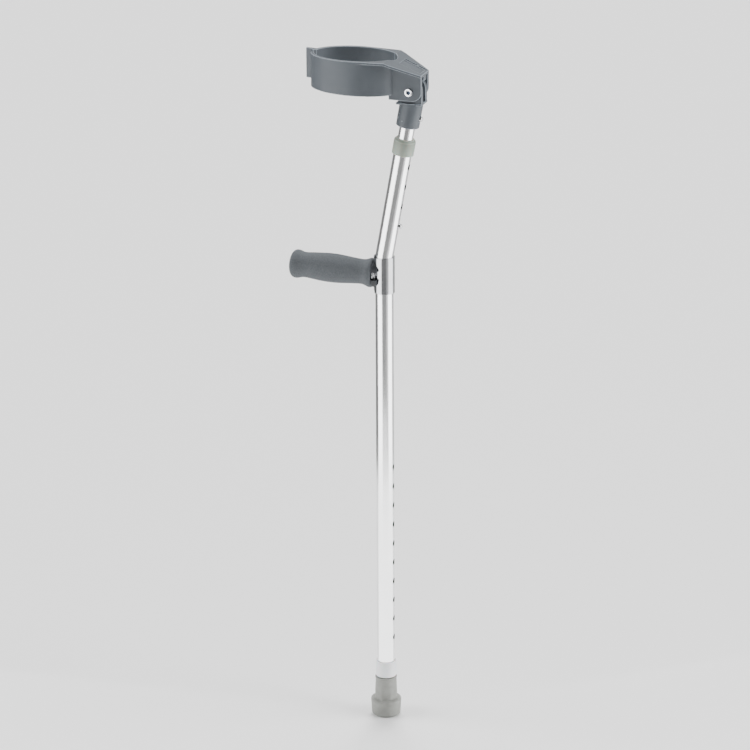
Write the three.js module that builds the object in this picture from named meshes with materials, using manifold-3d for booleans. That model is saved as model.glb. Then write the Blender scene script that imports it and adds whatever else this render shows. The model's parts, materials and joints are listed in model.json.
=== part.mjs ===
// Forearm crutch with a bent aluminium shaft, a foam grip and a hinged oval forearm cuff.
// Millimetres, +Z up. The origin is the centre of the rubber tip's flat base. The grip points
// along -X, the upper shaft leans back towards +X, and the XZ plane is the plane of symmetry.
import * as THREE from "three";
import { mergeVertices } from "three/addons/utils/BufferGeometryUtils.js";
import Module from "manifold-3d";

const wasm = await Module();
wasm.setup();

// ---- driving dimensions ----------------------------------------------------------------
const GAP = 0.3; // running clearance between separate pieces

const TUBE_R = 11; // main shaft, outside radius
const TUBE_BORE_R = 9.5;
const INNER_R = TUBE_BORE_R - GAP; // leg tube and cuff tube, outside radius
const INNER_BORE_R = 7.7;
const SEGMENTS = 40; // facets round a tube

const LEAN = THREE.MathUtils.degToRad(10.2); // the upper shaft leans back by this angle
const KNEE_Z = 605.2; // where the two straight axes cross
const BEND_RADIUS = 40; // of the shaft's axis
const BEND_START_Z = KNEE_Z - BEND_RADIUS * Math.tan(LEAN / 2);

const PITCH = 25.4; // between adjustment holes
const HOLE_R = 3.6;
const BUTTON_R = 3.3;
const LEG_HOLES = 10;
const TOP_LEG_HOLE_Z = 334.6;
const CUFF_HOLES = 4;
const CUFF_BUTTON_S = 43.4; // lowest upper hole, measured along the leaning axis from the knee
const BUTTON_TOP_R = 15.4; // a released button's crown, from the tube's axis
const BUTTON_LENGTH = 9.6;

// Anti-rattle collars at both ends of the shaft.
const LOWER_COLLAR = { r: 12.9, bottom: 52.6, top: 73 };
const SHAFT_BOTTOM_Z = 58.4;
const UPPER_COLLAR = { r: 13.2, bottom: 134, top: 154 };
const SHAFT_TOP_S = 148.4;

const CUFF_TUBE = { bottom: 20, top: 191.6 };
const LEG_TUBE = { bottom: 16.2, top: 372 };

const TIP = {
  base: 18,
  flange: 19.2,
  flangeTop: 21,
  foot: 15.2,
  mouth: 13.2,
  height: 51.6,
  flatFoot: 14.1, // distance of the flats from the axis, at their foot and at their top
  flatTop: 13.4,
  flatsTurn: THREE.MathUtils.degToRad(-3.5),
};
const TIP_SEAT_Z = 14.2;

const CLAMP = { outer: 12.7, bore: 11.4, bottom: 561, top: 606 };
const HANDLE_Z = 583.4; // height of the grip's axis at the shaft
const HANDLE_RISE = THREE.MathUtils.degToRad(1); // the grip rises slightly towards its nose
const EAR = { inner: 7.4, outer: 8.7, reach: 24.5, half: 9.5 };
const CLAMP_BOLT = { x: -14, z: 584, r: 2.5, head: 4.9, headHeight: 3 };

const GRIP = { tail: -13, bore: 7.3, mouth: 14.4, mouthDepth: 15 };
const BAR = { r: 7, root: -11.5, nose: -108 };
const SADDLE = { r: 14.1, flange: 16.7, face: -12.4, horns: -5, back: -26.8, finTop: 607 };

const PIVOT_S = 215.4; // cuff hinge, along the leaning axis
const PIVOT_T = -1.4; // and in front of it
const PIVOT_X = PIVOT_S * Math.sin(LEAN) + PIVOT_T * Math.cos(LEAN);
const PIVOT_Z = KNEE_Z + PIVOT_S * Math.cos(LEAN) - PIVOT_T * Math.sin(LEAN);

const SOCKET = { r: 14.1, bottom: 170, boreTop: 191.9, top: 196 };
const SOCKET_BUTTON_S = 181.9;
const SOCKET_HOLE_R = 4.4;
const HEAD = { front: 19.2, back: 51.2, half: 11.6, bottom: 800.4, top: 803 };
const EARS = { inner: 4.8, outer: 10.2, r: 14.4 };

const CUFF = {
  centreX: -34.7,
  innerA: 51.2, // half length of the opening, along X
  innerB: 33, // half width of the opening, along Y
  wall: 4,
  bottom: 812.4,
  frontRise: 1.6,
  top: 855,
};
const HINGE = {
  back: 52,
  half: 15,
  bottom: 806.4,
  slotInner: 4.5,
  slotOuter: 10.5,
  slotFront: 20.6,
  corner: 12,
};
const PLATE = {
  edge: [[8, 33.6], [17, 31.6], [24, 28.2]], // points along its side, in plan
  slopeStartX: 11,
  backZ: 838.4,
  thickness: 3.2,
};
const CUFF_MOUTH = { near: -7, far: 3 }; // the gap in the front of the ring, along Y

// ---- helpers ---------------------------------------------------------------------------
function toSolid(geometry) {
  const bare = geometry.clone();
  bare.deleteAttribute("normal");
  bare.deleteAttribute("uv");
  const merged = mergeVertices(bare, 1e-4);
  return new wasm.Manifold(
    new wasm.Mesh({
      numProp: 3,
      vertProperties: new Float32Array(merged.attributes.position.array),
      triVerts: new Uint32Array(merged.index.array),
    }),
  );
}

function toGeometry(solid) {
  const mesh = solid.getMesh();
  const geometry = new THREE.BufferGeometry();
  geometry.setAttribute("position", new THREE.BufferAttribute(mesh.vertProperties, 3));
  geometry.setIndex(new THREE.BufferAttribute(mesh.triVerts, 1));
  geometry.computeVertexNormals();
  return geometry;
}

const joined = (...solids) => solids.reduce((a, b) => a.add(b));
const cut = (solid, ...tools) => tools.reduce((a, b) => a.subtract(b), solid);

// A body of revolution about Z from [radius, z] points.
function turned(profile, segments = SEGMENTS) {
  const points = profile.map(([r, z]) => new THREE.Vector2(r, z));
  return toSolid(new THREE.LatheGeometry(points, segments).rotateX(Math.PI / 2));
}

function rod(radius, z0, z1, segments = SEGMENTS) {
  const geometry = new THREE.CylinderGeometry(radius, radius, z1 - z0, segments);
  return toSolid(geometry.rotateX(Math.PI / 2).translate(0, 0, (z0 + z1) / 2));
}

function tube(outer, inner, z0, z1) {
  return turned([[inner, z0], [outer, z0], [outer, z1], [inner, z1], [inner, z0]]);
}

// A cylinder along +X whose axis crosses (y, z).
function rodX(radius, x0, x1, y, z, segments = 24) {
  const geometry = new THREE.CylinderGeometry(radius, radius, x1 - x0, segments);
  return toSolid(geometry.rotateZ(-Math.PI / 2).translate((x0 + x1) / 2, y, z));
}

// A cylinder along +Y whose axis crosses (x, z).
function rodY(radius, y0, y1, x, z, segments = 24) {
  const geometry = new THREE.CylinderGeometry(radius, radius, y1 - y0, segments);
  return toSolid(geometry.translate(x, (y0 + y1) / 2, z));
}

function block(x0, x1, y0, y1, z0, z1) {
  const geometry = new THREE.BoxGeometry(x1 - x0, y1 - y0, z1 - z0);
  return toSolid(geometry.translate((x0 + x1) / 2, (y0 + y1) / 2, (z0 + z1) / 2));
}

// A plan outline raised from z0 to z1.
function raised(shape, z0, z1, curveSegments = 32) {
  const options = { depth: z1 - z0, bevelEnabled: false, curveSegments };
  return toSolid(new THREE.ExtrudeGeometry(shape, options).translate(0, 0, z0));
}

// A side outline in X and Z, from y0 to y1.
function sideways(shape, y0, y1, curveSegments = 12) {
  const options = { depth: y1 - y0, bevelEnabled: false, curveSegments };
  const geometry = new THREE.ExtrudeGeometry(shape, options);
  return toSolid(geometry.rotateX(Math.PI / 2).translate(0, y1, 0));
}

function polygon(points) {
  return new THREE.Shape(points.map(([x, y]) => new THREE.Vector2(x, y)));
}

function ellipse(x, a, b, segments = 64) {
  const shape = new THREE.Shape();
  shape.absellipse(x, 0, a, b, 0, 2 * Math.PI, false, 0);
  return new THREE.Shape(shape.getPoints(segments).slice(0, -1));
}

// ---- materials -------------------------------------------------------------------------
const finish = (color, roughness, metalness) =>
  new THREE.MeshStandardMaterial({ color, roughness, metalness });

const polishedAluminium = () => finish(0xd9dadc, 0.16, 1);
const chromedSteel = () => finish(0xe4e6e9, 0.12, 1);
const springSteel = () => finish(0x9a9da1, 0.35, 1);
const greyPlastic = () => finish(0x777c82, 0.42, 0);
const greyFoam = () => finish(0x66696d, 0.85, 0);
const greyRubber = () => finish(0x9fa19b, 0.7, 0);
const smokyNylon = () => finish(0x9ba39b, 0.38, 0);
const whiteNylon = () => finish(0xececee, 0.35, 0);
const blackPlastic = () => finish(0x26282a, 0.5, 0);

// ---- groups ----------------------------------------------------------------------------
const crutch = new THREE.Group();
const upper = new THREE.Group(); // its Z axis is the leaning shaft's axis, with the knee at 0
upper.position.set(0, 0, KNEE_Z);
upper.rotation.y = LEAN;
crutch.add(upper);

function addNode(group, name, solid, material) {
  const mesh = new THREE.Mesh(toGeometry(solid), material);
  mesh.name = name;
  group.add(mesh);
}

// Moves a solid made along the leaning axis into the crutch's own frame.
function leaned(solid) {
  const toFrame = new THREE.Matrix4().makeRotationY(LEAN).setPosition(0, 0, KNEE_Z);
  return solid.transform(toFrame.elements);
}

// ---- shaft -----------------------------------------------------------------------------
// The shaft's axis as a list of stations, so the straight runs need no extra facets.
class ShaftAxis extends THREE.Curve {
  constructor() {
    super();
    this.stations = [[new THREE.Vector3(0, 0, SHAFT_BOTTOM_Z), 0]];
    const bendSteps = 5;
    for (let i = 0; i <= bendSteps; i += 1) {
      const angle = (LEAN * i) / bendSteps;
      const x = BEND_RADIUS * (1 - Math.cos(angle));
      const z = BEND_START_Z + BEND_RADIUS * Math.sin(angle);
      this.stations.push([new THREE.Vector3(x, 0, z), angle]);
    }
    const end = new THREE.Vector3(Math.sin(LEAN), 0, Math.cos(LEAN)).multiplyScalar(SHAFT_TOP_S);
    this.stations.push([end.add(new THREE.Vector3(0, 0, KNEE_Z)), LEAN]);
  }
  station(u) {
    return this.stations[Math.round(u * (this.stations.length - 1))];
  }
  getPointAt(u) {
    return this.station(u)[0].clone();
  }
  getTangentAt(u) {
    const angle = this.station(u)[1];
    return new THREE.Vector3(Math.sin(angle), 0, Math.cos(angle));
  }
}

function mainTube() {
  const section = new THREE.Shape().absarc(0, 0, TUBE_R, 0, 2 * Math.PI, false);
  section.holes.push(new THREE.Path().absarc(0, 0, TUBE_BORE_R, 0, 2 * Math.PI, true));
  const axis = new ShaftAxis();
  const shaft = toSolid(
    new THREE.ExtrudeGeometry(section, {
      steps: axis.stations.length - 1,
      extrudePath: axis,
      curveSegments: SEGMENTS / 2,
      bevelEnabled: false,
    }),
  );
  const drills = [];
  for (let i = 0; i < LEG_HOLES; i += 1) {
    drills.push(rodX(HOLE_R, 4, TUBE_R + 2, 0, TOP_LEG_HOLE_Z - i * PITCH, 20));
  }
  for (let i = 0; i < CUFF_HOLES; i += 1) {
    drills.push(leaned(rodX(HOLE_R, 4, TUBE_R + 2, 0, CUFF_BUTTON_S + i * PITCH, 20)));
  }
  return cut(shaft, ...drills);
}

// A collar fits over the shaft's end and closes in on the tube that slides inside it.
function collar({ r, bottom, top }, shaftEnd, lipAtTop) {
  const bore = TUBE_R + GAP;
  const lip = INNER_R + GAP;
  const [low, high] = lipAtTop ? [bore, lip] : [lip, bore];
  return turned([
    [low, bottom],
    [r - 0.9, bottom],
    [r, bottom + 0.9],
    [r, top - 3.4],
    [r - 0.5, top - 1.6],
    [r - 1.6, top - 0.4],
    [r - 2.4, top],
    [high, top],
    [high, shaftEnd],
    [low, shaftEnd],
    [low, bottom],
  ]);
}

addNode(crutch, "main_tube", mainTube(), polishedAluminium());
addNode(
  crutch,
  "lower_collar",
  collar(LOWER_COLLAR, SHAFT_BOTTOM_Z - GAP, false),
  whiteNylon(),
);
addNode(upper, "upper_collar", collar(UPPER_COLLAR, SHAFT_TOP_S + GAP, true), smokyNylon());

// ---- snap buttons and their V springs --------------------------------------------------
// A button stands on +X of a tube's axis at height z, with its crown at the radius given.
function snapButton(crown, z) {
  const edge = 1.5;
  const base = crown - BUTTON_LENGTH;
  const profile = [[0, base], [BUTTON_R, base], [BUTTON_R, crown - 2 * edge]];
  for (let i = 1; i < 4; i += 1) {
    const angle = (i * Math.PI) / 8;
    profile.push([BUTTON_R * Math.cos(angle), crown - 2 * edge * (1 - Math.sin(angle))]);
  }
  profile.push([0, crown]);
  const geometry = turned(profile, 24);
  const onSide = new THREE.Matrix4().makeRotationY(Math.PI / 2).setPosition(0, 0, z);
  return geometry.transform(onSide.elements);
}

// A strip bent into a V: one leg under the button, the other against the tube's far wall.
function vSpring(buttonBase, z) {
  const strip = 0.8;
  const halfWidth = 2.8;
  const legTop = z + 6;
  const heel = z - 20;
  const near = buttonBase - GAP;
  const far = -6.7;
  const outline = polygon([
    [near, legTop],
    [near - strip, legTop],
    [near - strip, z - 5],
    [-1.4, heel + strip],
    [far + 2, heel + strip],
    [far + strip, heel + 3],
    [far + strip, legTop],
    [far, legTop],
    [far, heel + 2.6],
    [far + 1.7, heel],
    [-1, heel],
    [near, z - 5],
  ]);
  return sideways(outline, -halfWidth, halfWidth);
}

const releasedBase = BUTTON_TOP_R - BUTTON_LENGTH;
const pressedCrown = INNER_R - 0.1; // held in by the shaft's wall
const pressedBase = pressedCrown - BUTTON_LENGTH;

// ---- leg -------------------------------------------------------------------------------
function drilledTube({ bottom, top }, ...holes) {
  const drills = holes.map((z) => rodX(HOLE_R, 3, INNER_R + 2, 0, z, 20));
  return cut(tube(INNER_R, INNER_BORE_R, bottom, top), ...drills);
}

function rubberTip() {
  const socketR = INNER_R + GAP;
  const body = turned([
    [0, 0],
    [TIP.base - 1.6, 0],
    [TIP.base - 0.4, 0.6],
    [TIP.base, 1.8],
    [TIP.flange, TIP.flangeTop - 1.4],
    [TIP.flange - 0.8, TIP.flangeTop],
    [TIP.foot + 0.6, TIP.flangeTop + 2.4],
    [TIP.foot, TIP.flangeTop + 4],
    [TIP.mouth, TIP.height - 4],
    [TIP.mouth + 0.5, TIP.height - 2.4],
    [TIP.mouth + 0.5, TIP.height - 0.8],
    [TIP.mouth, TIP.height],
    [socketR, TIP.height],
    [socketR, TIP_SEAT_Z],
    [0, TIP_SEAT_Z],
  ]);
  // Eight flats are cut into the foot of the cone and run out towards its mouth.
  const acrossCorners = 1 / Math.cos(Math.PI / 8);
  const [flatsFrom, flatsTo] = [TIP.flangeTop + 1, TIP.height - 4.6];
  const core = toSolid(
    new THREE.CylinderGeometry(
      TIP.flatTop * acrossCorners,
      TIP.flatFoot * acrossCorners,
      flatsTo - flatsFrom + 2,
      8,
    )
      .rotateX(Math.PI / 2)
      .rotateZ(TIP.flatsTurn)
      .translate(0, 0, (flatsFrom + flatsTo) / 2),
  );
  const flats = cut(rod(TIP.flange + 2, flatsFrom, flatsTo), core);
  const treads = [5, 9.4, 13.8].map((r) => tube(r + 2, r, -1, 1.2));
  return cut(body, flats, ...treads);
}

addNode(
  crutch,
  "leg_tube",
  drilledTube(LEG_TUBE, TOP_LEG_HOLE_Z),
  polishedAluminium(),
);
addNode(crutch, "rubber_tip", rubberTip(), greyRubber());
addNode(
  crutch,
  "tip_washer",
  rod(INNER_R - 0.2, TIP_SEAT_Z + GAP, LEG_TUBE.bottom - GAP),
  springSteel(),
);
addNode(crutch, "leg_button", snapButton(pressedCrown, TOP_LEG_HOLE_Z), chromedSteel());
addNode(crutch, "leg_button_spring", vSpring(pressedBase, TOP_LEG_HOLE_Z), springSteel());

// ---- cuff tube -------------------------------------------------------------------------
addNode(
  upper,
  "cuff_tube",
  drilledTube(CUFF_TUBE, CUFF_BUTTON_S, SOCKET_BUTTON_S),
  polishedAluminium(),
);
for (const [name, s] of [["height", CUFF_BUTTON_S], ["socket", SOCKET_BUTTON_S]]) {
  const crown = name === "socket" ? BUTTON_TOP_R + 1.8 : BUTTON_TOP_R;
  const base = crown - BUTTON_LENGTH;
  addNode(upper, `${name}_button`, snapButton(crown, s), chromedSteel());
  addNode(upper, `${name}_button_spring`, vSpring(Math.min(base, releasedBase), s), springSteel());
}

// ---- handle ----------------------------------------------------------------------------
// Moves a solid made along +Z into the grip's place, running forward from the shaft's axis.
function forward(solid) {
  const lieDown = new THREE.Matrix4().makeRotationY(HANDLE_RISE - Math.PI / 2);
  return solid.transform(lieDown.setPosition(0, 0, HANDLE_Z).elements);
}

// A sheet steel sleeve round the shaft, open in front, where two ears run into the grip.
function handleClamp() {
  const { x, z, r } = CLAMP_BOLT;
  const sleeve = tube(CLAMP.outer, CLAMP.bore, CLAMP.bottom, CLAMP.top);
  const slit = block(-20, -5, -EAR.inner, EAR.inner, CLAMP.bottom - 1, CLAMP.top + 1);
  const [low, high] = [HANDLE_Z - EAR.half, HANDLE_Z + EAR.half];
  const ears = [
    block(-EAR.reach, -6, -EAR.outer, -EAR.inner, low, high),
    block(-EAR.reach, -6, EAR.inner, EAR.outer, low, high),
  ].map((ear) => cut(ear, rod(CLAMP.bore, low - 1, high + 1)));
  return cut(joined(cut(sleeve, slit), ...ears), rodY(r + GAP, -12, 12, x, z));
}

// The plastic saddle plugs the grip's mouth, hugs the sleeve and closes its slit with a fin.
function handleSaddle() {
  const { x, z, r, head } = CLAMP_BOLT;
  const finHalf = EAR.inner - GAP;
  const earRoom = EAR.half + GAP;
  const headRoom = head + GAP;
  const inSlit = block(-20, -8, -finHalf, finHalf, CLAMP.bottom + 2, SADDLE.finTop);
  const plug = joined(
    forward(rod(SADDLE.r, -SADDLE.horns, -SADDLE.back)),
    forward(rod(SADDLE.flange, -SADDLE.horns, -SADDLE.face)),
  );
  const fin = inSlit.intersect(rod(CLAMP.outer, CLAMP.bottom, SADDLE.finTop));
  const sleeveRoom = cut(rod(CLAMP.outer + GAP, CLAMP.bottom, CLAMP.top), inSlit);
  const shaftRoom = rod(TUBE_R + 0.4, CLAMP.bottom, SADDLE.finTop + 1);
  const sides = [
    [-20, -EAR.inner + GAP],
    [EAR.inner - GAP, 20],
  ];
  const notches = sides.flatMap(([y0, y1]) => [
    rodY(headRoom, y0, y1, x, z),
    block(x, 0, y0, y1, z - headRoom, z + headRoom),
  ]);
  const earSlots = [-EAR.outer - GAP, EAR.inner - GAP].map((y) => {
    const width = EAR.outer - EAR.inner + 2 * GAP;
    return block(-EAR.reach - GAP, 0, y, y + width, HANDLE_Z - earRoom, HANDLE_Z + earRoom);
  });
  const boltHole = rodY(r + GAP, -EAR.inner, EAR.inner, x, z);
  const barHole = forward(rod(GRIP.bore, 0, 40));
  return cut(
    joined(cut(plug, sleeveRoom), fin),
    shaftRoom,
    ...earSlots,
    ...notches,
    boltHole,
    barHole,
  );
}

function handleBar() {
  const bar = forward(rod(BAR.r, -BAR.root, -BAR.nose, 32));
  return cut(bar, rodY(CLAMP_BOLT.r + GAP, -8, 8, CLAMP_BOLT.x, CLAMP_BOLT.z));
}

// The moulded grip: a rim at each end, a palm swell between them and a closed round nose.
function handGrip() {
  const boreEnd = GRIP.tail - BAR.nose + GAP;
  const profile = [
    [GRIP.mouth, 0],
    [16.2, 0],
    [17.4, 1.4],
    [17.9, 3.8],
    [17.6, 6.6],
    [16.2, 9.6],
    [15.4, 13.2],
    [15.2, 16],
    [15.9, 26.6],
    [17.1, 39.6],
    [17.8, 53.6],
    [17.3, 65.6],
    [16.2, 79.6],
    [15.5, 88.6],
    [16, 92.4],
    [17, 95.6],
    [17.4, 98.2],
    [16.6, 101.6],
    [13.8, 104.2],
    [8.6, 105.9],
    [0, 106.4],
    [0, boreEnd],
    [GRIP.bore, boreEnd],
    [GRIP.bore, GRIP.mouthDepth],
    [GRIP.mouth, GRIP.mouthDepth],
    [GRIP.mouth, 0],
  ];
  return forward(turned(profile.map(([r, along]) => [r, along - GRIP.tail])));
}

function hexagon(acrossCorners, y0, y1) {
  const geometry = new THREE.CylinderGeometry(acrossCorners, acrossCorners, y1 - y0, 6);
  return toSolid(geometry.translate(CLAMP_BOLT.x, (y0 + y1) / 2, CLAMP_BOLT.z));
}

function clampBolt() {
  const { x, z, r, head, headHeight } = CLAMP_BOLT;
  const face = -EAR.outer - GAP;
  return joined(
    rodY(head, face - headHeight + 1, face, x, z),
    rodY(head - 1, face - headHeight, face - 1, x, z),
    rodY(r, face - 1, EAR.outer + headHeight + 1, x, z),
  );
}

function clampNut() {
  const { x, z, r, head, headHeight } = CLAMP_BOLT;
  const face = EAR.outer + GAP;
  return cut(hexagon(head, face, face + headHeight), rodY(r + GAP, face - 1, 20, x, z));
}

addNode(crutch, "handle_clamp", handleClamp(), chromedSteel());
addNode(crutch, "handle_saddle", handleSaddle(), blackPlastic());
addNode(crutch, "handle_bar", handleBar(), springSteel());
addNode(crutch, "hand_grip", handGrip(), greyFoam());
addNode(crutch, "clamp_bolt", clampBolt(), chromedSteel());
addNode(crutch, "clamp_nut", clampNut(), chromedSteel());

// ---- cuff socket -----------------------------------------------------------------------
// A round socket on the cuff tube, leaning with it, under an upright fork for the hinge.
function cuffSocket() {
  const cup = leaned(
    cut(
      rod(SOCKET.r, SOCKET.bottom, SOCKET.top + 6),
      rod(INNER_R + GAP, SOCKET.bottom - 1, SOCKET.boreTop),
      rodX(SOCKET_HOLE_R, 5, SOCKET.r + 2, 0, SOCKET_BUTTON_S, 24),
    ),
  );
  const above = block(-20, 90, -30, 30, HEAD.top, HEAD.top + 40);
  const head = block(HEAD.front, HEAD.back, -HEAD.half, HEAD.half, HEAD.bottom, HEAD.top);
  const side = new THREE.Shape();
  side.moveTo(PIVOT_X + EARS.r, HEAD.bottom + 1);
  side.lineTo(PIVOT_X + EARS.r, PIVOT_Z);
  side.absarc(PIVOT_X, PIVOT_Z, EARS.r, 0, Math.PI, false);
  side.lineTo(PIVOT_X - EARS.r, HEAD.bottom + 1);
  const ears = [
    sideways(side, -EARS.outer, -EARS.inner),
    sideways(side, EARS.inner, EARS.outer),
  ];
  const pinHole = rodY(3.3, -20, 20, PIVOT_X, PIVOT_Z);
  return cut(joined(cut(cup, above), head, ...ears), pinHole);
}

addNode(crutch, "cuff_socket", cuffSocket(), greyPlastic());

// ---- forearm cuff ----------------------------------------------------------------------
// The top surface: level over the ring, falling to the back over the hinge.
function topHeight(x) {
  const fall = (CUFF.top - PLATE.backZ) / (HINGE.back - PLATE.slopeStartX);
  return CUFF.top - fall * Math.max(0, x - PLATE.slopeStartX);
}

// Everything above the top surface, or above a surface set lower by depth.
function aboveTop(depth) {
  const high = CUFF.top + 20;
  const outline = polygon([
    [-120, CUFF.top - depth],
    [PLATE.slopeStartX, CUFF.top - depth],
    [HINGE.back + 8, topHeight(HINGE.back + 8) - depth],
    [HINGE.back + 8, high],
    [-120, high],
  ]);
  return sideways(outline, -60, 60);
}

function hingeSide() {
  const side = new THREE.Shape();
  const { back, bottom, corner } = HINGE;
  side.moveTo(9, bottom);
  side.lineTo(back - corner, bottom);
  side.absarc(back - corner, bottom + corner, corner, -Math.PI / 2, 0, false);
  side.lineTo(back, CUFF.top);
  side.lineTo(9, CUFF.top);
  return side;
}

// The ring's lower edge rises a little towards the front.
function underRing() {
  return sideways(
    polygon([
      [-120, CUFF.bottom - 20],
      [9, CUFF.bottom - 20],
      [9, CUFF.bottom],
      [-95, CUFF.bottom + CUFF.frontRise],
      [-120, CUFF.bottom + CUFF.frontRise],
    ]),
    -60,
    60,
  );
}

// The tongue between the socket's ears, cut back to a round nose under the pivot.
function tongueTrim() {
  const nose = 10.5;
  const clear = block(PIVOT_X, HINGE.back + 1, -20, 20, HINGE.bottom - 1, PIVOT_Z + nose + 2);
  const band = block(0, 70, -HINGE.slotInner, HINGE.slotInner, 790, 860);
  return cut(clear, rodY(nose, -20, 20, PIVOT_X, PIVOT_Z, 40)).intersect(band);
}

function cuffLip() {
  const lip = new THREE.Shape();
  lip.moveTo(-89.3, CUFF_MOUTH.far);
  lip.quadraticCurveTo(-91.5, 8, -101, 9.4);
  lip.lineTo(-101.3, 12.4);
  lip.quadraticCurveTo(-91, 12.4, -85.2, 9);
  lip.lineTo(-85.3, CUFF_MOUTH.far);
  return raised(lip, CUFF.bottom + 5.8, CUFF.top, 8);
}

function forearmCuff() {
  const { centreX, innerA, innerB, wall, bottom, top } = CUFF;
  const ring = raised(ellipse(centreX, innerA + wall, innerB + wall), bottom, top);
  const edge = [[-22, 36.2], ...PLATE.edge, [HINGE.back, HINGE.half]];
  const plan = polygon([...edge.map(([x, y]) => [x, -y]), ...edge.reverse()]);
  const slab = raised(plan, HINGE.bottom, top);
  const plate = slab.intersect(aboveTop(PLATE.thickness));
  const hinge = sideways(hingeSide(), -HINGE.half, HINGE.half);
  const underPlate = aboveTop(PLATE.thickness);
  const slots = [-1, 1].map((side) => {
    const [y0, y1] = [side * HINGE.slotInner, side * HINGE.slotOuter].sort((a, b) => a - b);
    return cut(
      joined(
        block(HINGE.slotFront, HINGE.back + 5, y0, y1, HINGE.bottom - 2, top),
        block(0, HINGE.back + 5, y0, y1, HINGE.bottom - 2, bottom),
      ),
      underPlate,
    );
  });
  const recess = block(23, 48.5, -8.6, 8.6, 800, 900).intersect(aboveTop(0.9));
  const opening = raised(ellipse(centreX, innerA, innerB), HINGE.bottom - 5, top + 5);
  const mouth = block(-130, -70, CUFF_MOUTH.near, CUFF_MOUTH.far, bottom - 5, top + 5);
  const pinHole = rodY(3.3, -40, 40, PIVOT_X, PIVOT_Z);
  const body = cut(joined(ring, plate, hinge), aboveTop(0), underRing(), opening, mouth);
  return cut(joined(body, cuffLip()), ...slots, tongueTrim(), recess, pinHole);
}

// A binding screw: the screw enters a barrel whose flange bears on the far wall.
function pivotScrew() {
  const face = -HINGE.half - GAP;
  return cut(
    joined(
      rodY(4.7, face - 2.2, face, PIVOT_X, PIVOT_Z, 32),
      rodY(1.9, face - 1, 8, PIVOT_X, PIVOT_Z),
    ),
    rodY(2.8, face - 3, face - 0.7, PIVOT_X, PIVOT_Z, 6),
  );
}

function pivotBarrel() {
  const face = HINGE.half + GAP;
  return cut(
    joined(
      rodY(4.7, face, face + 2.2, PIVOT_X, PIVOT_Z, 32),
      rodY(3, -HINGE.half + 1, face + 1, PIVOT_X, PIVOT_Z),
    ),
    rodY(1.9 + GAP, -HINGE.half - 1, 9, PIVOT_X, PIVOT_Z),
  );
}

addNode(crutch, "forearm_cuff", forearmCuff(), greyPlastic());
addNode(crutch, "pivot_screw", pivotScrew(), chromedSteel());
addNode(crutch, "pivot_barrel", pivotBarrel(), chromedSteel());

export default crutch;
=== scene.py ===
"""Looks of the forearm crutch: smooth high-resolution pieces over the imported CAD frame.

Metres, +Z up. The origin is the centre of the rubber tip's base, the grip points along -X,
and the upper shaft leans back towards +X.
"""

import json
import math

import bmesh
import bpy
from mathutils import Matrix, Vector, noise

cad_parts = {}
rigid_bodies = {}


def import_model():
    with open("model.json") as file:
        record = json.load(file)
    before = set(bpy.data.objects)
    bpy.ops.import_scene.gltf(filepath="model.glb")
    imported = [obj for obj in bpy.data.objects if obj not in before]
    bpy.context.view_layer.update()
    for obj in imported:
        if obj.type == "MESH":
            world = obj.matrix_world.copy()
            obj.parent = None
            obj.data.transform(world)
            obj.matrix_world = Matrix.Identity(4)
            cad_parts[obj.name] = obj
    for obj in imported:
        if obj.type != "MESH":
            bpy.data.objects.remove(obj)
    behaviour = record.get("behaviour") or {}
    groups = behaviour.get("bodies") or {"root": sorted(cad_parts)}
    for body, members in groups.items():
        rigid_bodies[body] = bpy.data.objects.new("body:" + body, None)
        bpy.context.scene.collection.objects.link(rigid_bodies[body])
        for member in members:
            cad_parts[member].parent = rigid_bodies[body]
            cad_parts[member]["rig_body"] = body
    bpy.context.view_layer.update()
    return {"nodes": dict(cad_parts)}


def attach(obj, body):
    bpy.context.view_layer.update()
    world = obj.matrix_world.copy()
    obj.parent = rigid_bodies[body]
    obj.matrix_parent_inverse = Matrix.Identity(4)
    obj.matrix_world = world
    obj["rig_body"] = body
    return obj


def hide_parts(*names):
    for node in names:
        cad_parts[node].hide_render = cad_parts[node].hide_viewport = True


MM = 0.001
SEGMENTS = 128

# ---- dimensions of the CAD part, in millimetres ---------------------------------------
LEAN = math.radians(10.2)
KNEE_Z = 605.2
TUBE_R, TUBE_BORE_R = 11.0, 9.5
INNER_R, INNER_BORE_R = 9.2, 7.7
BEND_RADIUS = 40.0
SHAFT_BOTTOM_Z, SHAFT_TOP_S = 58.4, 148.4
PITCH, HOLE_R = 25.4, 3.6
LEG_HOLES, TOP_LEG_HOLE_Z = 10, 334.6
CUFF_HOLES, CUFF_BUTTON_S = 4, 43.4
SOCKET_BUTTON_S = 181.9
CUFF_TUBE = (20.0, 191.6)
LEG_TUBE = (16.2, 372.0)
HANDLE_Z, HANDLE_RISE = 583.4, math.radians(1.0)
GRIP_TAIL = 13.0
TIP_FLATS_TURN = math.radians(-3.5)
TIP_FOOT_Z, TIP_TOP_Z = 22.0, 47.4
TIP_CONE_FOOT_R, TIP_CONE_TOP_R = 15.25, 13.15
TIP_FLAT_FOOT_R, TIP_FLAT_TOP_R = 14.1, 13.4
TIP_FILLET = 0.7
PIVOT_X, PIVOT_Z = 36.766, 817.444
SCREW_FACE_Y, RECESS_R, RECESS_DEPTH = -17.5, 2.85, 2.0
PLATE_SLOPE_START_X, PLATE_TOP = 11.0, 855.0
PLATE_BACK_X, PLATE_BACK_Z = 52.0, 838.4
SLOT_Y, SLOT_SPANS, SLOT_DEPTH = (11.4, 13.9), [(22.8, 38.2), (39.4, 49.6)], 5.0

# ---- painted highlights on the plastic's convex edges, and the studio's cards in metres ---
EDGE_HIGHLIGHT_GAIN, EDGE_HIGHLIGHT_STOPS = 2.8, (0.51, 0.53)
CARD_RADIUS, CARD_TOP_Z = 0.85, 1.3

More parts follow.
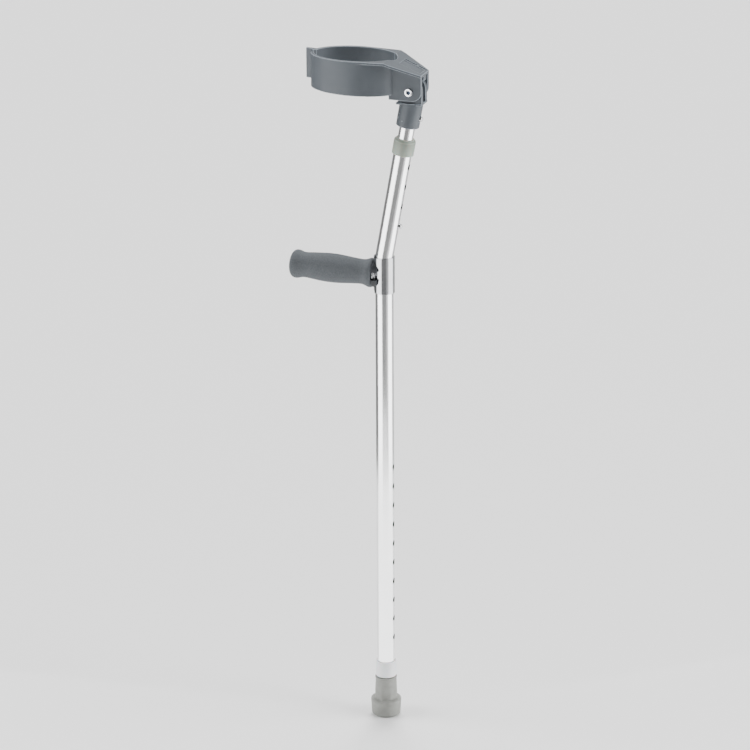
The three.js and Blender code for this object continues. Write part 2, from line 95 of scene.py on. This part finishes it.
# ---- the photograph's viewpoint --------------------------------------------------------
CAMERA_PLACE = Vector((1.3106, -3.8063, 1.9205))
CAMERA_AZIMUTH = math.radians(19.17)
CAMERA_PITCH = math.radians(20.02)
CAMERA_ROLL = -0.0054
CAMERA_LENS, SENSOR = 168.4, 36.0

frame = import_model()


# ---- placement -------------------------------------------------------------------------
def millimetres():
    """From millimetres to the frame's metres."""
    return Matrix.Diagonal((MM, MM, MM, 1))


def leaning():
    """From the leaning axis's own frame, in mm, to the row frame."""
    place = Matrix.Translation((0, 0, KNEE_Z * MM))
    return place @ Matrix.Rotation(LEAN, 4, "Y") @ millimetres()


def forward():
    """From the grip's own frame, whose +Z runs forward along the grip, to the row frame."""
    place = Matrix.Translation((0, 0, HANDLE_Z * MM))
    return place @ Matrix.Rotation(HANDLE_RISE - math.pi / 2, 4, "Y") @ millimetres()


# ---- materials -------------------------------------------------------------------------
class Look:
    """One procedural material: a Principled shader with noise-driven inputs."""

    def __init__(self, name, color, roughness, metallic=0.0, **constants):
        self.material = bpy.data.materials.new(name)
        self.material.use_nodes = True
        self.material.diffuse_color = (*color, 1)
        self.nodes = self.material.node_tree.nodes
        self.links = self.material.node_tree.links
        self.shader = self.nodes["Principled BSDF"]
        self.color = color
        self.set("Base Color", (*color, 1))
        self.set("Roughness", roughness)
        self.set("Metallic", metallic)
        for socket, value in constants.items():
            self.set(socket.replace("_", " "), value)
        self.place = self.nodes.new("ShaderNodeTexCoord").outputs["Object"]

    def set(self, socket, value):
        self.shader.inputs[socket].default_value = value

    def noise(self, scale, detail=2.0, stretch=(1, 1, 1), rough=0.5):
        mapping = self.nodes.new("ShaderNodeMapping")
        mapping.inputs["Scale"].default_value = stretch
        texture = self.nodes.new("ShaderNodeTexNoise")
        texture.inputs["Scale"].default_value = scale
        texture.inputs["Detail"].default_value = detail
        texture.inputs["Roughness"].default_value = rough
        self.links.new(self.place, mapping.inputs["Vector"])
        self.links.new(mapping.outputs["Vector"], texture.inputs["Vector"])
        return texture.outputs["Fac"]

    def ramp(self, value, low, high, stops=(0.3, 0.7)):
        """A colour or a grey value that runs from low to high as value passes the stops."""
        node = self.nodes.new("ShaderNodeValToRGB")
        for element, place, shade in zip(node.color_ramp.elements, stops, (low, high)):
            element.position = place
            element.color = (*shade, 1) if hasattr(shade, "__len__") else (shade,) * 3 + (1,)
        self.links.new(value, node.inputs["Fac"])
        return node.outputs["Color"]

    def vary_color(self, value, darker, lighter, stops=(0.3, 0.7)):
        low = [c * darker for c in self.color]
        high = [min(1, c * lighter) for c in self.color]
        self.links.new(self.ramp(value, low, high, stops), self.shader.inputs["Base Color"])
        return self

    def vary_roughness(self, value, low, high, stops=(0.3, 0.7)):
        self.links.new(self.ramp(value, low, high, stops), self.shader.inputs["Roughness"])
        return self

    def painted_edge_highlights(self, color, stops):
        """Convex edges get a painted highlight: their colour is lighter than the faces between
        them.
        """
        bare = self.shader.inputs["Base Color"].links[0].from_socket
        edge = self.nodes.new("ShaderNodeNewGeometry").outputs["Pointiness"]
        mix = self.nodes.new("ShaderNodeMix")
        mix.data_type = "RGBA"
        factor, face_color, highlight_color = mix.inputs[0], mix.inputs[6], mix.inputs[7]
        self.links.new(self.ramp(edge, 0.0, 1.0, stops), factor)
        self.links.new(bare, face_color)
        highlight_color.default_value = (*color, 1)
        self.links.new(mix.outputs[2], self.shader.inputs["Base Color"])
        return self

    def bump(self, value, strength, distance):
        node = self.nodes.new("ShaderNodeBump")
        node.inputs["Strength"].default_value = strength
        node.inputs["Distance"].default_value = distance
        self.links.new(value, node.inputs["Height"])
        self.links.new(node.outputs["Normal"], self.shader.inputs["Normal"])
        return self


def drawn_metal(name, color, roughness, spread):
    """Bright metal with faint lengthwise lines from drawing or polishing."""
    look = Look(name, color, roughness, metallic=1.0)
    lines = look.noise(900, detail=3, stretch=(1, 1, 0.015))
    look.vary_roughness(lines, roughness - spread, roughness + spread)
    look.vary_color(look.noise(40, detail=2), 0.97, 1.03)
    return look.bump(lines, 0.12, 0.00002).material


def moulded_plastic(name, color, roughness, **constants):
    """Plastic with a fine grain, uneven gloss and a painted highlight on its convex edges."""
    look = Look(name, color, roughness, **constants)
    grain = look.noise(2600, detail=4)
    look.vary_roughness(look.noise(120, detail=3), roughness - 0.05, roughness + 0.05)
    look.vary_color(look.noise(55, detail=3), 0.96, 1.04)
    # painted highlight: convex edges are coloured lighter than the faces between them
    look.painted_edge_highlights([min(1, c * EDGE_HIGHLIGHT_GAIN) for c in color], EDGE_HIGHLIGHT_STOPS)
    return look.bump(grain, 0.25, 0.00006).material


def grip_foam():
    """Closed-cell foam with a mottled skin."""
    look = Look("grey_foam", (0.098, 0.107, 0.116), 0.9, Specular_IOR_Level=0.15)
    cells = look.noise(650, detail=6, rough=0.72)
    look.vary_color(cells, 0.8, 1.2, stops=(0.32, 0.68))
    look.vary_roughness(look.noise(900, detail=2), 0.8, 0.95)
    return look.bump(cells, 0.55, 0.00035).material


def tip_rubber():
    """Matt moulded rubber, a little cloudy."""
    look = Look("grey_rubber", (0.26, 0.266, 0.246), 0.62, Specular_IOR_Level=0.25)
    clouds = look.noise(95, detail=5, rough=0.62)
    look.vary_color(clouds, 0.9, 1.1, stops=(0.35, 0.65))
    look.vary_roughness(clouds, 0.55, 0.7)
    return look.bump(look.noise(1500, detail=4), 0.3, 0.00008).material


MATERIALS = {
    "polished_aluminium": drawn_metal("polished_aluminium", (0.86, 0.865, 0.87), 0.16, 0.03),
    # a darker, rougher copy of the polished aluminium: its darkness is painted shade for the tube
    # inside the shaft
    "painted_shade_aluminium": drawn_metal("painted_shade_aluminium", (0.2, 0.204, 0.21), 0.34, 0.05),
    "chromed_steel": drawn_metal("chromed_steel", (0.74, 0.75, 0.77), 0.14, 0.04),
    "clamp_steel": drawn_metal("clamp_steel", (0.42, 0.425, 0.435), 0.17, 0.05),
    # painted shade for the walls of the tubes' holes
    "hole_wall_shade": drawn_metal("hole_wall_shade", (0.05, 0.05, 0.052), 0.5, 0.06),
    # painted shade inside the hinge screw's hexagonal recess
    "screw_recess_shade": drawn_metal("screw_recess_shade", (0.035, 0.045, 0.065), 0.4, 0.05),
    "spring_steel": drawn_metal("spring_steel", (0.42, 0.43, 0.45), 0.35, 0.06),
    "grey_plastic": moulded_plastic(
        "grey_plastic",
        (0.092, 0.104, 0.117),
        0.36,
        Specular_IOR_Level=0.16,
    ),
    "smoky_nylon": moulded_plastic(
        "smoky_nylon",
        (0.175, 0.2, 0.168),
        0.52,
        Specular_IOR_Level=0.3,
        Subsurface_Weight=0.2,
        Subsurface_Scale=0.004,
    ),
    "white_nylon": moulded_plastic(
        "white_nylon",
        (0.84, 0.845, 0.87),
        0.35,
        Subsurface_Weight=0.25,
        Subsurface_Scale=0.004,
    ),
    "black_plastic": moulded_plastic(
        "black_plastic",
        (0.018, 0.02, 0.023),
        0.45,
        Specular_IOR_Level=0.18,
    ),
    "grey_foam": grip_foam(),
    "grey_rubber": tip_rubber(),
}


# ---- meshes ----------------------------------------------------------------------------
def make_object(name, bm, place, sharp_degrees=35):
    """A smooth-shaded object from a bmesh, which the matrix brings into the frame's metres."""
    bmesh.ops.transform(bm, matrix=place, verts=bm.verts)
    bmesh.ops.recalc_face_normals(bm, faces=bm.faces)
    mesh = bpy.data.meshes.new(name)
    bm.to_mesh(mesh)
    bm.free()
    piece = bpy.data.objects.new(name, mesh)
    bpy.context.scene.collection.objects.link(piece)
    shade(piece, sharp_degrees)
    return piece


def shade(piece, sharp_degrees):
    """Smooth shading, broken at edges sharper than an angle."""
    piece.data.polygons.foreach_set("use_smooth", [True] * len(piece.data.polygons))
    piece.data.set_sharp_from_angle(angle=math.radians(sharp_degrees))


def apply_modifiers(piece):
    """Bakes the piece's modifiers into its mesh."""
    graph = bpy.context.evaluated_depsgraph_get()
    baked = bpy.data.meshes.new_from_object(piece.evaluated_get(graph))
    piece.modifiers.clear()
    piece.data = baked


def finish_piece(piece, node, slot, sharp_degrees=35, material=None):
    """The piece stands for a CAD node, moves with its body and takes a material slot."""
    shade(piece, sharp_degrees)
    piece.data.materials.clear()
    piece.data.materials.append(MATERIALS[material or slot])
    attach(piece, frame["nodes"][node]["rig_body"])
    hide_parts(node)
    return piece


def skin(bm, rings, closed=False):
    """Faces between successive rings of vertices, all with the same number of points."""
    pairs = list(zip(rings, rings[1:]))
    if closed:
        pairs.append((rings[-1], rings[0]))
    for low, high in pairs:
        count = max(len(low), len(high))
        for i in range(count):
            j = (i + 1) % count
            corners = [
                low[i % len(low)],
                low[j % len(low)],
                high[j % len(high)],
                high[i % len(high)],
            ]
            unique = list(dict.fromkeys(corners))
            if len(unique) > 2:
                bm.faces.new(unique)


def circle(bm, radius, z, segments=SEGMENTS):
    """A ring of vertices about Z. The radius is a number or a function of the angle."""
    made = []
    for i in range(segments):
        angle = 2 * math.pi * i / segments
        r = radius(angle) if callable(radius) else radius
        made.append(bm.verts.new((r * math.cos(angle), r * math.sin(angle), z)))
    return made


def turned(profile, segments=SEGMENTS, closed=False):
    """A body of revolution about Z from (radius, z) points. Points on the axis are single."""
    bm = bmesh.new()
    rings = []
    for r, z in profile:
        on_axis = r < 1e-6
        rings.append([bm.verts.new((0, 0, z))] if on_axis else circle(bm, r, z, segments))
    skin(bm, rings, closed)
    return bm


def rounded(profile, radius, steps=4, closed=True):
    """The profile with each corner turned into an arc of about the given radius."""
    made = []
    count = len(profile)
    for i, (x, y) in enumerate(profile):
        if not closed and i in (0, count - 1):
            made.append((x, y))
            continue
        here = Vector((x, y))
        before = Vector(profile[i - 1]) - here
        after = Vector(profile[(i + 1) % count]) - here
        reach = min(radius, before.length * 0.45, after.length * 0.45)
        start, end = here + before.normalized() * reach, here + after.normalized() * reach
        for k in range(steps + 1):
            t = k / steps
            made.append(tuple(start.lerp(here, t).lerp(here.lerp(end, t), t)))
    return made


def hollow_tube(outer, inner, z0, z1):
    """A straight tube about Z with softly broken ends."""
    profile = [(inner, z0), (outer, z0), (outer, z1), (inner, z1)]
    return turned(rounded(profile, 0.35), closed=True)


def cut_away(piece, cutters):
    """Takes the cutters' space out of the piece, and the cutters out of the scene."""
    for cutter in cutters:
        modifier = piece.modifiers.new("cut", "BOOLEAN")
        modifier.operation = "DIFFERENCE"
        modifier.solver = "EXACT"
        modifier.object = cutter
    apply_modifiers(piece)
    for cutter in cutters:
        bpy.data.objects.remove(cutter)


def drill(piece, places, radius):
    """Round holes along local +X at (place matrix, z) pairs, through the back wall only."""
    cutter_mesh = bmesh.new()
    for place, z in places:
        matrix = place @ Matrix.Translation((10, 0, z)) @ Matrix.Rotation(math.pi / 2, 4, "Y")
        bmesh.ops.create_cone(
            cutter_mesh,
            cap_ends=True,
            segments=48,
            radius1=radius,
            radius2=radius,
            depth=12,
            matrix=matrix,
        )
    cut_away(piece, [make_object("cutter", cutter_mesh, Matrix.Identity(4))])


# ---- tubes -----------------------------------------------------------------------------
def shaft():
    """The main tube: straight, then an arc at the handle, then straight again."""
    tangent = BEND_RADIUS * math.tan(LEAN / 2)
    steps = 24
    stations = [(Vector((0, 0, SHAFT_BOTTOM_Z)), 0.0)]
    for i in range(steps + 1):
        angle = LEAN * i / steps
        x = BEND_RADIUS * (1 - math.cos(angle))
        z = KNEE_Z - tangent + BEND_RADIUS * math.sin(angle)
        stations.append((Vector((x, 0, z)), angle))
    top = Vector((math.sin(LEAN), 0, math.cos(LEAN))) * SHAFT_TOP_S
    stations.append((top + Vector((0, 0, KNEE_Z)), LEAN))
    bm = bmesh.new()

    def ring(centre, angle, radius):
        across = Vector((math.cos(angle), 0, -math.sin(angle)))
        points = []
        for i in range(SEGMENTS):
            turn = 2 * math.pi * i / SEGMENTS
            offset = across * math.cos(turn) + Vector((0, 1, 0)) * math.sin(turn)
            points.append(bm.verts.new(centre + offset * radius))
        return points

    outside = [ring(centre, angle, TUBE_R) for centre, angle in stations]
    inside = [ring(centre, angle, TUBE_BORE_R) for centre, angle in reversed(stations)]
    skin(bm, outside + inside, closed=True)
    piece = make_object("shaft", bm, millimetres())
    lower = [(millimetres(), TOP_LEG_HOLE_Z - i * PITCH) for i in range(LEG_HOLES)]
    upper = [(leaning(), CUFF_BUTTON_S + i * PITCH) for i in range(CUFF_HOLES)]
    drill(piece, lower + upper, HOLE_R)
    finish_piece(piece, "main_tube", "polished_aluminium", 30)
    paint_hole_shade(piece, lower + upper, HOLE_R)


def inner_tube(name, node, span, place, holes, material=None):
    """A tube that slides in the shaft, with its snap buttons' holes."""
    piece = make_object(name, hollow_tube(INNER_R, INNER_BORE_R, *span), place)
    places = [(place, z) for z in holes]
    drill(piece, places, HOLE_R)
    finish_piece(piece, node, "polished_aluminium", 30, material)
    paint_hole_shade(piece, places, HOLE_R)


def paint_hole_shade(piece, places, radius):
    """The walls of the holes are painted dark: painted shade inside the holes."""
    piece.data.materials.append(MATERIALS["hole_wall_shade"])
    tolerance = 0.1
    for place, z in places:
        to_hole = (place @ Matrix.Translation((0, 0, z))).inverted()
        for face in piece.data.polygons:
            x, y, up = to_hole @ face.center
            if x > 0 and abs(math.hypot(y, up) - radius) < tolerance:
                face.material_index = 1


shaft()
# the leg tube is coloured darker: painted shade behind the shaft's holes
inner_tube("leg_post", "leg_tube", LEG_TUBE, millimetres(), [TOP_LEG_HOLE_Z], "painted_shade_aluminium")
inner_tube("cuff_post_tube", "cuff_tube", CUFF_TUBE, leaning(), [CUFF_BUTTON_S, SOCKET_BUTTON_S])


# ---- collars ---------------------------------------------------------------------------
def collar(name, node, slot, place, profile, edge):
    """A turned collar whose corners are rounded by the given radius."""
    piece = make_object(name, turned(rounded(profile, edge), closed=True), place)
    return finish_piece(piece, node, slot)


UPPER_COLLAR_PROFILE = [
    (11.3, 134),
    (13.2, 134),
    (13.2, 151.2),
    (11, 154),
    (9.5, 154),
    (9.5, 148.7),
    (11.3, 148.7),
]
LOWER_COLLAR_PROFILE = [
    (9.5, 52.6),
    (12.9, 52.6),
    (12.9, 70.2),
    (12.4, 73),
    (12.05, 72.9),
    (11.9, 69.6),
    (11.3, 69.2),
    (11.3, 58.1),
    (9.5, 58.1),
]
collar("smoky_collar", "upper_collar", "smoky_nylon", leaning(), UPPER_COLLAR_PROFILE, 1.1)
collar("white_collar", "lower_collar", "white_nylon", millimetres(), LOWER_COLLAR_PROFILE, 0.8)


# ---- rubber tip ------------------------------------------------------------------------
def octagon_reach(angle, flat):
    """Distance to the side of an octagon whose sides stand a given distance from the axis."""
    eighth = math.pi / 4
    offset = (angle - TIP_FLATS_TURN) % eighth - eighth / 2
    return flat / math.cos(offset)


def soft_least(a, b, blend=0.18):
    """The smaller of two lengths, with the crease between them eased."""
    middle, half = (a + b) / 2, (a - b) / 2
    return middle - math.sqrt(half * half + blend * blend)


def tip():
    """The outside is a cone with a bead at its mouth. Eight flats are cut into its foot."""
    sole = [
        (4.6, 0.0),
        (5.0, 1.1),
        (7.0, 1.1),
        (7.4, 0.0),
        (9.0, 0.0),
        (9.4, 1.1),
        (11.4, 1.1),
        (11.8, 0.0),
        (13.4, 0.0),
        (13.8, 1.1),
        (15.8, 1.1),
        (16.2, 0.0),
    ]
    flange = [
        (17.0, 0.15),
        (17.6, 0.7),
        (18.0, 1.8),
        (18.6, 10.0),
        (19.1, 18.4),
        (19.15, 19.4),
        (18.9, 20.3),
        (18.3, 20.9),
        (17.4, 21.2),
        (16.4, 21.5),
    ]
    mouth = [
        (13.15, 48.3),
        (13.5, 48.8),
        (13.7, 49.6),
        (13.65, 50.6),
        (13.3, 51.4),
        (12.7, 51.6),
        (9.8, 51.5),
        (9.5, 51.0),
        (9.5, 14.2),
    ]
    steps = 40
    bm = bmesh.new()
    rings = [[bm.verts.new((0, 0, 0))]]
    rings += [circle(bm, r, z) for r, z in sole + flange]
    for i in range(steps + 1):
        t = i / steps
        z = TIP_FOOT_Z + (TIP_TOP_Z - TIP_FOOT_Z) * t
        cone = TIP_CONE_FOOT_R + (TIP_CONE_TOP_R - TIP_CONE_FOOT_R) * t
        cone += TIP_FILLET * max(0.0, 1 - t / 0.1) ** 2
        flat = TIP_FLAT_FOOT_R + (TIP_FLAT_TOP_R - TIP_FLAT_FOOT_R) * t

        def reach(angle, cone=cone, flat=flat):
            return soft_least(cone, octagon_reach(angle, flat))

        rings.append(circle(bm, reach, z))
    rings += [circle(bm, r, z) for r, z in mouth]
    rings.append([bm.verts.new((0, 0, mouth[-1][1]))])
    skin(bm, rings)
    piece = make_object("grey_tip", bm, millimetres())
    return finish_piece(piece, "rubber_tip", "grey_rubber", 28)


tip()


# ---- grip ------------------------------------------------------------------------------
GRIP_PROFILE = [
    (14.4, 0.8),
    (14.9, 0.1),
    (15.8, 0.1),
    (16.8, 0.6),
    (17.5, 1.7),
    (17.9, 3.4),
    (17.8, 5.2),
    (17.2, 7.2),
    (16.2, 9.6),
    (15.5, 12.6),
    (15.2, 16),
    (15.3, 20),
    (15.9, 26.6),
    (16.5, 33),
    (17.1, 39.6),
    (17.6, 46.6),
    (17.8, 53.6),
    (17.7, 59.6),
    (17.3, 65.6),
    (16.8, 72.6),
    (16.1, 79.6),
    (15.6, 85),
    (15.5, 88.6),
    (15.8, 91.6),
    (16.6, 94.4),
    (17.2, 96.6),
    (17.4, 98.8),
    (17.1, 101),
    (16.1, 103),
    (14.2, 104.6),
    (11.5, 105.6),
    (8, 106.1),
    (4, 106.35),
    (0, 106.4),
]
GRIP_INSIDE = [(0, 95.3), (7.3, 95.3), (7.3, 15), (14.4, 15)]


def smoothed(profile, steps=4):
    """A Catmull-Rom curve through the profile's points."""
    points = [Vector(p) for p in profile]
    made = []
    for i in range(len(points) - 1):
        before = points[max(0, i - 1)]
        a, b = points[i], points[i + 1]
        after = points[min(len(points) - 1, i + 2)]
        slope = b - before
        curve = 2 * before - 5 * a + 4 * b - after
        twist = 3 * a - before - 3 * b + after
        for k in range(steps):
            t = k / steps
            made.append(0.5 * (2 * a + slope * t + curve * t * t + twist * t**3))
    made.append(points[-1])
    return [(max(0.0, p.x), p.y) for p in made]


def grip():
    """Foam with a slightly uneven skin: the surface swells and dips by about a tenth of a mm."""
    bm = turned(smoothed(GRIP_PROFILE) + GRIP_INSIDE, segments=160, closed=True)
    for vertex in bm.verts:
        radius = math.hypot(vertex.co.x, vertex.co.y)
        if radius > 15:
            uneven = noise.noise(vertex.co * 0.11) * 0.16 + noise.noise(vertex.co * 0.5) * 0.05
            vertex.co.x *= 1 + uneven / radius
            vertex.co.y *= 1 + uneven / radius
    place = forward() @ Matrix.Translation((0, 0, GRIP_TAIL))
    piece = finish_piece(make_object("foam_grip", bm, place), "hand_grip", "grey_foam", 50)


grip()


# ---- pieces refined from their CAD nodes -----------------------------------------------
def welded_copy(node):
    """The CAD node's mesh as a bmesh in metres, with shared vertices joined."""
    bm = bmesh.new()
    bm.from_mesh(frame["nodes"][node].data)
    bmesh.ops.remove_doubles(bm, verts=bm.verts, dist=2e-6)
    flat = math.radians(0.5)
    bmesh.ops.dissolve_limit(bm, angle_limit=flat, verts=bm.verts, edges=bm.edges)
    return bm


def bevelled(name, node, slot, width, sharp_degrees=30, material=None):
    """A copy of the node with its sharp edges broken by a small round."""
    piece = make_object(name, welded_copy(node), Matrix.Identity(4))
    bevel = piece.modifiers.new("bevel", "BEVEL")
    bevel.width = width * MM
    bevel.segments = 3
    bevel.limit_method = "ANGLE"
    bevel.angle_limit = math.radians(35)
    apply_modifiers(piece)
    return finish_piece(piece, node, slot, sharp_degrees, material)


def paint_recess_shade(screw):
    """The hexagonal recess of the hinge's screw is painted dark: painted shade inside the recess.
    """
    screw.data.materials.append(MATERIALS["screw_recess_shade"])
    rim = 0.15
    for face in screw.data.polygons:
        x, y, z = face.center / MM
        off_axis = math.hypot(x - PIVOT_X, z - PIVOT_Z)
        if off_axis < RECESS_R and rim < y - SCREW_FACE_Y < RECESS_DEPTH:
            face.material_index = 1


def moulded(name, node, slot, voxel, rounds, cutters=()):
    """A copy of the node, remeshed finely and smoothed, so that its edges are moulded rounds."""
    piece = make_object(name, welded_copy(node), Matrix.Identity(4))
    cut_away(piece, cutters)
    remesh = piece.modifiers.new("remesh", "REMESH")
    remesh.mode = "VOXEL"
    remesh.voxel_size = voxel * MM
    remesh.adaptivity = 0.0
    smooth = piece.modifiers.new("smooth", "SMOOTH")
    smooth.factor = 0.5
    smooth.iterations = rounds
    apply_modifiers(piece)
    return finish_piece(piece, node, slot, 180)


def plate_top(x):
    """Height of the cuff's sloping back plate."""
    fall = (PLATE_TOP - PLATE_BACK_Z) / (PLATE_BACK_X - PLATE_SLOPE_START_X)
    return PLATE_TOP - fall * (x - PLATE_SLOPE_START_X)


def slot_cutter(x0, x1):
    """A box that sinks into the cuff's back plate, between two stations in X."""
    bm = bmesh.new()
    rings = []
    y0, y1 = SLOT_Y
    for x in (x0, x1):
        bottom, top = plate_top(x) - SLOT_DEPTH, plate_top(x) + 5
        corners = [(y0, bottom), (y1, bottom), (y1, top), (y0, top)]
        rings.append([bm.verts.new((x, y, z)) for y, z in corners])
    skin(bm, rings)
    for ring in rings:
        bm.faces.new(ring)
    return make_object("cutter", bm, millimetres())


def shadow_marks(cuff):
    """The two narrow slots in the back plate are dark inside."""
    cuff.data.materials.append(MATERIALS["black_plastic"])
    margin, lip = 0.2, 0.45
    first_x, last_x = SLOT_SPANS[0][0] - margin, SLOT_SPANS[-1][1] + margin
    for face in cuff.data.polygons:
        x, y, z = face.center / MM
        in_reach = first_x < x < last_x and SLOT_Y[0] - margin < y < SLOT_Y[1] + margin
        if in_reach and lip < plate_top(x) - z < SLOT_DEPTH + margin:
            face.material_index = 1


voxel = 0.42
slots = [slot_cutter(*span) for span in SLOT_SPANS]
shadow_marks(moulded("oval_cuff", "forearm_cuff", "grey_plastic", voxel, 5, slots))
moulded("cuff_fork", "cuff_socket", "grey_plastic", voxel, 3)
moulded("saddle", "handle_saddle", "black_plastic", voxel, 2)
bevelled("clamp_sleeve", "handle_clamp", "chromed_steel", 0.35, 12, "clamp_steel")
bevelled("grip_core", "handle_bar", "spring_steel", 0.4)
bevelled("cross_bolt", "clamp_bolt", "chromed_steel", 0.5)
bevelled("cross_bolt_nut", "clamp_nut", "chromed_steel", 0.4)
# the screw's recess gets painted shade
paint_recess_shade(bevelled("hinge_screw", "pivot_screw", "chromed_steel", 0.3))
bevelled("hinge_barrel", "pivot_barrel", "chromed_steel", 0.5)
bevelled("washer", "tip_washer", "spring_steel", 0.3)

BUTTONS = {"height_button": "height", "socket_button": "socket", "leg_button": "leg"}
for node, word in BUTTONS.items():
    bevelled(f"{word}_snap_button", node, "chromed_steel", 0.2, 50, "clamp_steel")
    bevelled(f"{word}_v_spring", f"{node}_spring", "spring_steel", 0.12)


# ---- camera, floor and light -----------------------------------------------------------
def camera():
    """The photograph's camera: a long lens, looking down a little."""
    a, p = CAMERA_AZIMUTH, CAMERA_PITCH
    ahead = Vector((-math.sin(a) * math.cos(p), math.cos(a) * math.cos(p), -math.sin(p)))
    level = Vector((math.cos(a), math.sin(a), 0))
    up = level.cross(ahead)
    right = math.cos(CAMERA_ROLL) * level + math.sin(CAMERA_ROLL) * up
    up = right.cross(ahead)
    data = bpy.data.cameras.new("camera")
    data.lens = CAMERA_LENS
    data.sensor_width = SENSOR
    data.clip_start, data.clip_end = 0.1, 60
    made = bpy.data.objects.new("camera", data)
    axes = Matrix((right, up, -ahead)).transposed().to_4x4()
    made.matrix_world = Matrix.Translation(CAMERA_PLACE) @ axes
    bpy.context.scene.collection.objects.link(made)
    bpy.context.scene.camera = made


def around(azimuth, radius, z):
    """A point on a cylinder about the crutch; azimuth 0 is the camera's side, positive right."""
    angle = math.radians(azimuth)
    toward = Vector((math.sin(CAMERA_AZIMUTH), -math.cos(CAMERA_AZIMUTH), 0))
    right = Vector((math.cos(CAMERA_AZIMUTH), math.sin(CAMERA_AZIMUTH), 0))
    return (math.cos(angle) * toward + math.sin(angle) * right) * radius + Vector((0, 0, z))


def glow(name, radiance):
    """A plain white emission."""
    material = bpy.data.materials.new(name)
    material.use_nodes = True
    nodes = material.node_tree.nodes
    nodes.remove(nodes["Principled BSDF"])
    emission = nodes.new("ShaderNodeEmission")
    emission.inputs["Strength"].default_value = radiance
    output = nodes["Material Output"].inputs["Surface"]
    material.node_tree.links.new(emission.outputs["Emission"], output)
    return material


def card(name, azimuths, low, high, radiance):
    """A card that only reflections see, curved round the crutch between two (radius, z) rims."""
    bm = bmesh.new()
    steps = 12
    near, far = [], []
    for i in range(steps + 1):
        azimuth = azimuths[0] + (azimuths[1] - azimuths[0]) * i / steps
        near.append(bm.verts.new(around(azimuth, *low)))
        far.append(bm.verts.new(around(azimuth, *high)))
    for i in range(steps):
        bm.faces.new((near[i], near[i + 1], far[i + 1], far[i]))
    piece = make_object(name, bm, Matrix.Identity(4))
    piece.data.materials.append(glow(name, radiance))
    piece.visible_camera = False
    piece.visible_diffuse = False
    piece.visible_shadow = False


def sun(name, strength, spread, tilt, azimuth):
    """A soft even light from high up, leaning towards an azimuth about the crutch."""
    data = bpy.data.lights.new(name, "SUN")
    data.energy = strength
    data.angle = math.radians(spread)
    lamp = bpy.data.objects.new(name, data)
    source = around(azimuth, math.sin(math.radians(tilt)), math.cos(math.radians(tilt)))
    lamp.rotation_euler = source.to_track_quat("Z", "Y").to_euler()
    bpy.context.scene.collection.objects.link(lamp)


def studio():
    """A pale floor, a dim world, three soft suns, and the cards that give the metal its bands."""
    floor_mesh = bmesh.new()
    bmesh.ops.create_grid(floor_mesh, x_segments=1, y_segments=1, size=30)
    floor = make_object("floor", floor_mesh, Matrix.Translation((0, 0, -0.0004)))
    pale = bpy.data.materials.new("pale_floor")
    pale.use_nodes = True
    shader = pale.node_tree.nodes["Principled BSDF"]
    shader.inputs["Base Color"].default_value = (0.86, 0.86, 0.86, 1)
    shader.inputs["Roughness"].default_value = 0.9
    floor.data.materials.append(pale)
    world = bpy.data.worlds.new("studio")
    world.use_nodes = True
    background = world.node_tree.nodes["Background"]
    background.inputs["Color"].default_value = (1, 1, 1, 1)
    background.inputs["Strength"].default_value = 0.2
    bpy.context.scene.world = world
    sun("soft_top_light", 3.7, 30, 32, 175)
    sun("soft_right_light", 3.7, 40, 64, 80)
    sun("soft_left_light", 2.8, 40, 60, -92)
    top = (CARD_RADIUS, CARD_TOP_Z)
    card("left_card", (-92, -33), (CARD_RADIUS, 0.0), top, 5.5)
    card("right_card", (46, 104), (CARD_RADIUS, 0.0), top, 5.5)
    card("front_flag", (-33, 24), (CARD_RADIUS, 0.1), top, 0.36)
    card("front_right_flag", (24, 46), (CARD_RADIUS, 0.05), top, 1.1)
    card("back_right_flag", (104, 180), (CARD_RADIUS, 0.0), top, 0.9)
    card("back_left_flag", (180, 268), (CARD_RADIUS, 0.0), top, 0.25)
    card("floor_card", (-105, 110), (0.05, 0.002), (0.84, 0.002), 3.6)


camera()
studio()
